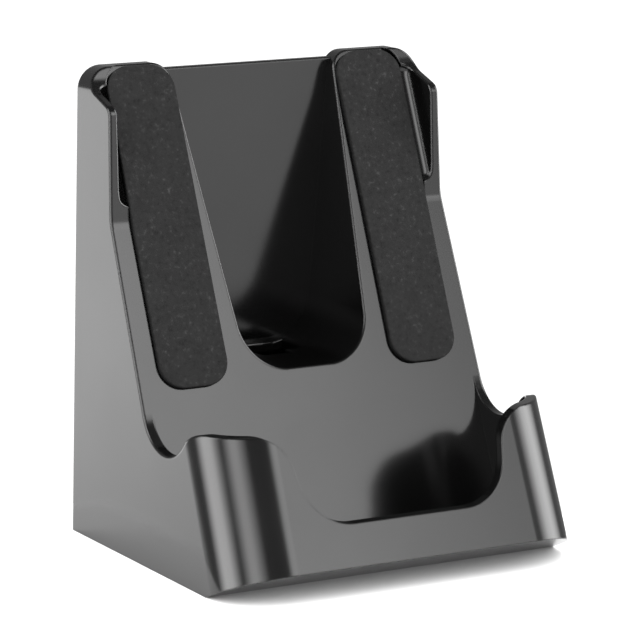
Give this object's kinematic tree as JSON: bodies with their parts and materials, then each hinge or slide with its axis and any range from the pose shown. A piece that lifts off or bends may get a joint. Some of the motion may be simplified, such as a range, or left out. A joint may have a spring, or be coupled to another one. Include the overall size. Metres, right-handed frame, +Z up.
{
  "type": "mouse display stand",
  "caption": "Upright black plastic stand that holds a computer mouse against a padded leaning face, above a shelf with a notched lip.",
  "frame": {"origin": "centre of the footprint at the table, level with the underside", "axes": "+Z up, the lip and the leaning face towards -Y, +X to the right as seen from the front"},
  "size_m": [0.08, 0.0746, 0.0972],
  "materials": {
    "body": "smooth black, satin gloss",
    "pads": "matte dark grey foam rubber"
  },
  "bodies": {
    "root": {"stand_body": "body", "left_pad": "pads", "right_pad": "pads"}
  },
  "joints": []
}
